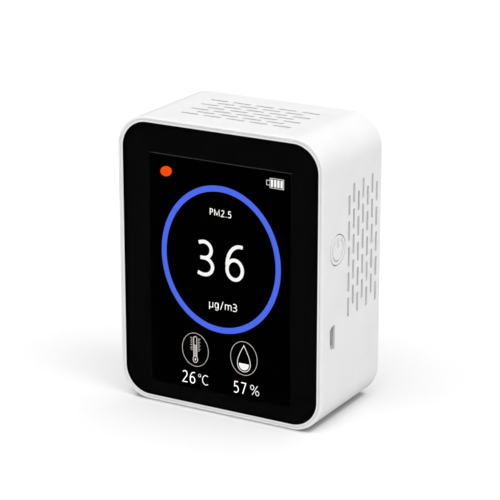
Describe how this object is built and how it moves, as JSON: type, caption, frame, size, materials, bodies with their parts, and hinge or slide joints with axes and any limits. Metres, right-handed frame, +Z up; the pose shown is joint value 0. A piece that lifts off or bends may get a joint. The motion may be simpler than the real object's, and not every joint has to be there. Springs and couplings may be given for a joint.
{
  "type": "air quality monitor",
  "caption": "Desktop air quality monitor: white rounded box, black glass front over a lit display, side power button, USB socket, slotted grilles and a fan-fed dust sensor inside.",
  "frame": {"origin": "middle of the flat base, on the surface that the object stands on", "axes": "+Z up along the height, +X to the right seen from the front, +Y from the glass front to the rear cover"},
  "size_m": [0.071, 0.038, 0.0912],
  "materials": {
    "white_shell": "fine satin moulded white plastic",
    "lens_glass": "polished clear cover lens over a black printed border",
    "display": "black display surface that shows a lit picture",
    "steel": "bright zinc plated and stamped steel",
    "brass": "turned brass barrel",
    "green_board": "green solder mask over glass fibre",
    "black_plastic": "matt black moulded plastic",
    "cream_plastic": "natural nylon connector bodies",
    "flex_film": "amber polyimide film",
    "battery_foil": "silver laminated pouch foil",
    "foam": "black closed-cell foam",
    "red_wire": "red PVC insulation",
    "black_wire": "black PVC insulation",
    "grey_cable": "light grey sleeve"
  },
  "bodies": {
    "case": {"front_glass": "lens_glass", "front_frame": "white_shell", "main_shell": "white_shell", "rear_cover": "white_shell", "lcd_panel": "display", "backlight_tray": "steel", "display_flex": "flex_film", "display_socket": "cream_plastic", "main_board": "green_board", "microcontroller": "black_plastic", "charger_chip": "black_plastic", "climate_sensor": "cream_plastic", "battery_socket": "cream_plastic", "board_sensor_socket": "cream_plastic", "dust_sensor_socket": "cream_plastic", "usb_shell": "steel", "usb_tongue": "black_plastic", "switch_body": "black_plastic", "dust_sensor_base": "black_plastic", "dust_sensor_lid": "steel", "dust_sensor_board": "green_board", "laser_module": "brass", "photodiode": "black_plastic", "fan_frame": "black_plastic", "battery": "battery_foil", "battery_pad": "foam", "battery_lead_red": "red_wire", "battery_lead_black": "black_wire", "sensor_cable": "grey_cable", "cover_screw_1": "steel", "board_screw_1": "steel", "cover_screw_2": "steel", "board_screw_2": "steel", "cover_screw_3": "steel", "board_screw_3": "steel", "cover_screw_4": "steel", "board_screw_4": "steel"},
    "button": {"power_button": "white_shell"},
    "plunger": {"switch_plunger": "black_plastic"},
    "rotor": {"fan_rotor": "black_plastic", "fan_shaft": "steel"}
  },
  "joints": [
    {"name": "power_button_slide", "type": "slide", "parent": "case", "child": "button", "axis": [-1, 0, 0], "range_m": [0, 0.0004], "stiffness_N_per_m": 3000},
    {"name": "switch_plunger_slide", "type": "slide", "parent": "case", "child": "plunger", "axis": [-1, 0, 0], "range_m": [0, 0.0004]},
    {"name": "fan_spin", "type": "hinge", "parent": "case", "child": "rotor", "pos_m": [0.012, 0.011, 0.063], "axis": [0, 1, 0], "continuous": true}
  ],
  "couplings": [
    {"joint": "switch_plunger_slide", "follows": "power_button_slide", "ratio": 1}
  ]
}
